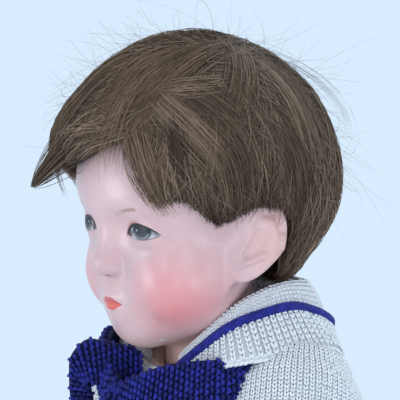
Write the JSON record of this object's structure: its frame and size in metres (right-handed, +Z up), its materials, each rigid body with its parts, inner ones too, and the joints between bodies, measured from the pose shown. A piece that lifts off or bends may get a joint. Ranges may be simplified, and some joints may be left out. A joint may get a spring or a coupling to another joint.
{
  "type": "jointed cloth doll",
  "caption": "seated cloth child doll with a painted moulded head, brown wig, knitted sailor sweater and blue scarf; head, arms and legs turn on disc joints",
  "frame": {"origin": "middle of the flat underside of the seat, on the surface the doll sits on", "axes": "the doll faces -Y, its own left side is +X and +Z is up"},
  "size_m": [0.2446, 0.2778, 0.3143],
  "materials": {
    "paint": "moulded cloth, painted in satin oil paint",
    "muslin": "woven muslin",
    "wool": "hand-knitted ivory wool",
    "blue_wool": "hand-knitted royal blue wool",
    "hair": "combed brown wig hair",
    "gauze": "gauze wig cap",
    "stuffing": "loose fibre filling",
    "card": "pressed card",
    "steel": "plain steel",
    "navy_cloth": "woven navy cloth",
    "sock": "ribbed knit",
    "leather": "smooth brown leather",
    "sole": "thick sole leather",
    "button": "small shank button"
  },
  "bodies": {
    "torso": {"torso_cover": "muslin", "torso_stuffing": "stuffing", "sweater_body": "wool", "sweater_collar": "wool", "collar_braid": "blue_wool", "scarf_band": "blue_wool", "scarf_knot": "blue_wool", "scarf_left_end": "blue_wool", "scarf_right_end": "blue_wool", "shorts_seat": "navy_cloth", "neck_body_disc": "card", "neck_pin": "steel", "left_shoulder_body_disc": "card", "left_shoulder_pin": "steel", "left_hip_body_disc": "card", "left_hip_pin": "steel", "right_shoulder_body_disc": "card", "right_shoulder_pin": "steel", "right_hip_body_disc": "card", "right_hip_pin": "steel"},
    "head": {"head_mask": "paint", "head_stuffing": "stuffing", "neck_head_disc": "card", "wig_cap": "gauze", "wig_hair": "hair"},
    "left_arm": {"left_arm_cover": "muslin", "left_arm_stuffing": "stuffing", "left_arm_disc": "card", "left_sleeve": "wool"},
    "left_leg": {"left_leg_cover": "muslin", "left_leg_stuffing": "stuffing", "left_leg_disc": "card", "left_shorts_leg": "navy_cloth", "left_sock": "sock", "left_shoe_upper": "leather", "left_shoe_sole": "sole", "left_shoe_strap": "leather", "left_shoe_button": "button"},
    "right_arm": {"right_arm_cover": "muslin", "right_arm_stuffing": "stuffing", "right_arm_disc": "card", "right_sleeve": "wool"},
    "right_leg": {"right_leg_cover": "muslin", "right_leg_stuffing": "stuffing", "right_leg_disc": "card", "right_shorts_leg": "navy_cloth", "right_sock": "sock", "right_shoe_upper": "leather", "right_shoe_sole": "sole", "right_shoe_strap": "leather", "right_shoe_button": "button"}
  },
  "joints": [
    {"name": "neck_turn", "type": "hinge", "parent": "torso", "child": "head", "pos_m": [0, -0.002, 0.158], "axis": [0, 0, 1], "range_deg": [-25, 25]},
    {"name": "left_shoulder", "type": "hinge", "parent": "torso", "child": "left_arm", "pos_m": [0.042, 0.006, 0.138], "axis": [-1, 0, 0], "range_deg": [-25, 60]},
    {"name": "left_hip", "type": "hinge", "parent": "torso", "child": "left_leg", "pos_m": [0.03, 0.004, 0.027], "axis": [1, 0, 0], "range_deg": [0, 90]},
    {"name": "right_shoulder", "type": "hinge", "parent": "torso", "child": "right_arm", "pos_m": [-0.042, 0.006, 0.138], "axis": [-1, 0, 0], "range_deg": [-25, 60]},
    {"name": "right_hip", "type": "hinge", "parent": "torso", "child": "right_leg", "pos_m": [-0.03, 0.004, 0.027], "axis": [1, 0, 0], "range_deg": [0, 90]}
  ]
}
